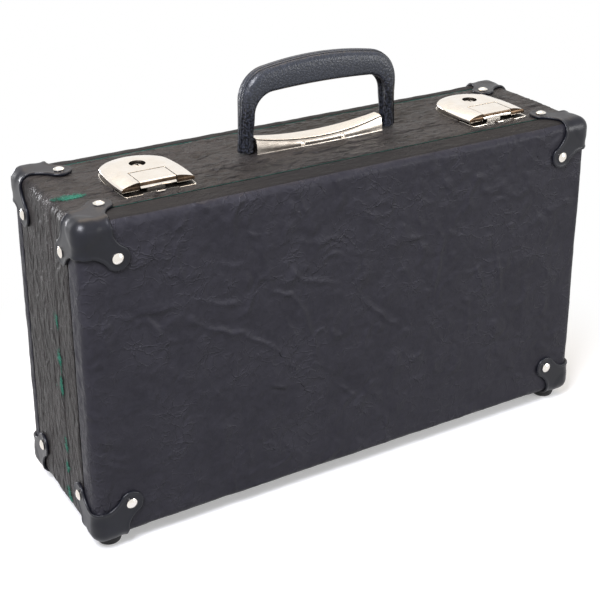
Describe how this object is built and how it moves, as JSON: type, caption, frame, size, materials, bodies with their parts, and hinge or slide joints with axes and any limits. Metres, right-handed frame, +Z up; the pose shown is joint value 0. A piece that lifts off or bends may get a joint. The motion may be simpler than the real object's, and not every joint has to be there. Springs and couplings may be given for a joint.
{
  "type": "keyboard case",
  "caption": "Upright hinged-lid case in creased leatherette over boards, with riveted corner guards, sprung latches with key locks, round feet and a swinging carry handle.",
  "frame": {"origin": "on the floor, under the middle of the closed case standing on its feet", "axes": "+X along the length, -Y out of the lid's face, +Z up to the handle"},
  "size_m": [0.4996, 0.1546, 0.363],
  "materials": {
    "plywood": "sanded birch plywood",
    "leatherette_face": "creased black leatherette",
    "leatherette_band": "creased black leatherette, paler on the sides",
    "velour": "short green plush",
    "guard_plastic": "smooth moulded plastic",
    "grip_plastic": "pebbled moulded plastic",
    "foot_plastic": "hard rubber",
    "rivet_nickel": "polished nickel plate",
    "latch_nickel": "polished nickel plate",
    "lock_nickel": "turned nickel plate",
    "saddle_nickel": "satin nickel plate",
    "hinge_steel": "zinc plated steel",
    "spring_steel": "blued spring steel"
  },
  "bodies": {
    "base": {"base_panel": "plywood", "base_top_board": "plywood", "base_bottom_board": "plywood", "base_left_board": "plywood", "base_right_board": "plywood", "base_face_cover": "leatherette_face", "base_band_cover": "leatherette_band", "base_lining": "velour", "base_corner_top_left": "guard_plastic", "base_corner_top_right": "guard_plastic", "base_corner_bottom_left": "guard_plastic", "base_corner_bottom_right": "guard_plastic", "base_corner_rivets": "rivet_nickel", "base_feet": "foot_plastic", "base_hinge_rivets": "hinge_steel", "locating_rim": "velour", "latch_rivets": "rivet_nickel", "left_hinge_base_leaf": "hinge_steel", "left_hinge_pin": "hinge_steel", "left_latch_plate": "latch_nickel", "left_latch_cover": "latch_nickel", "left_hasp_pin": "spring_steel", "left_hasp_spring": "spring_steel", "right_hinge_base_leaf": "hinge_steel", "right_hinge_pin": "hinge_steel", "right_latch_plate": "latch_nickel", "right_latch_cover": "latch_nickel", "right_hasp_pin": "spring_steel", "right_hasp_spring": "spring_steel", "handle_plate": "saddle_nickel", "handle_pivot_blocks": "hinge_steel", "handle_pivot_pins": "hinge_steel", "handle_plate_screws": "rivet_nickel"},
    "lid": {"lid_panel": "plywood", "lid_top_board": "plywood", "lid_bottom_board": "plywood", "lid_left_board": "plywood", "lid_right_board": "plywood", "lid_face_cover": "leatherette_face", "lid_band_cover": "leatherette_band", "lid_lining": "velour", "lid_corner_top_left": "guard_plastic", "lid_corner_top_right": "guard_plastic", "lid_corner_bottom_left": "guard_plastic", "lid_corner_bottom_right": "guard_plastic", "lid_corner_rivets": "rivet_nickel", "lid_feet": "foot_plastic", "lid_hinge_rivets": "hinge_steel", "catch_rivets": "rivet_nickel", "left_hinge_lid_leaf": "hinge_steel", "left_catch_plate": "latch_nickel", "right_hinge_lid_leaf": "hinge_steel", "right_catch_plate": "latch_nickel"},
    "handle": {"handle_grip": "grip_plastic"},
    "left_hasp": {"left_hasp": "latch_nickel"},
    "left_lock": {"left_lock": "lock_nickel"},
    "right_hasp": {"right_hasp": "latch_nickel"},
    "right_lock": {"right_lock": "lock_nickel"}
  },
  "joints": [
    {"name": "lid_hinge", "type": "hinge", "parent": "base", "child": "lid", "pos_m": [0, -0.0175, 0.0069], "axis": [1, 0, 0], "range_deg": [0, 110]},
    {"name": "handle_swing", "type": "hinge", "parent": "base", "child": "handle", "pos_m": [0.005, 0.005, 0.292], "axis": [1, 0, 0], "range_deg": [-85, 85]},
    {"name": "left_hasp_lift", "type": "hinge", "parent": "base", "child": "left_hasp", "pos_m": [-0.1615, -0.013, 0.2912], "axis": [-1, 0, 0], "range_deg": [0, 70]},
    {"name": "left_lock_turn", "type": "hinge", "parent": "base", "child": "left_lock", "pos_m": [-0.1615, 0.0075, 0.289], "axis": [0, 0, -1], "range_deg": [0, 90]},
    {"name": "right_hasp_lift", "type": "hinge", "parent": "base", "child": "right_hasp", "pos_m": [0.1715, -0.013, 0.2912], "axis": [-1, 0, 0], "range_deg": [0, 70]},
    {"name": "right_lock_turn", "type": "hinge", "parent": "base", "child": "right_lock", "pos_m": [0.1715, 0.0075, 0.289], "axis": [0, 0, -1], "range_deg": [0, 90]}
  ]
}
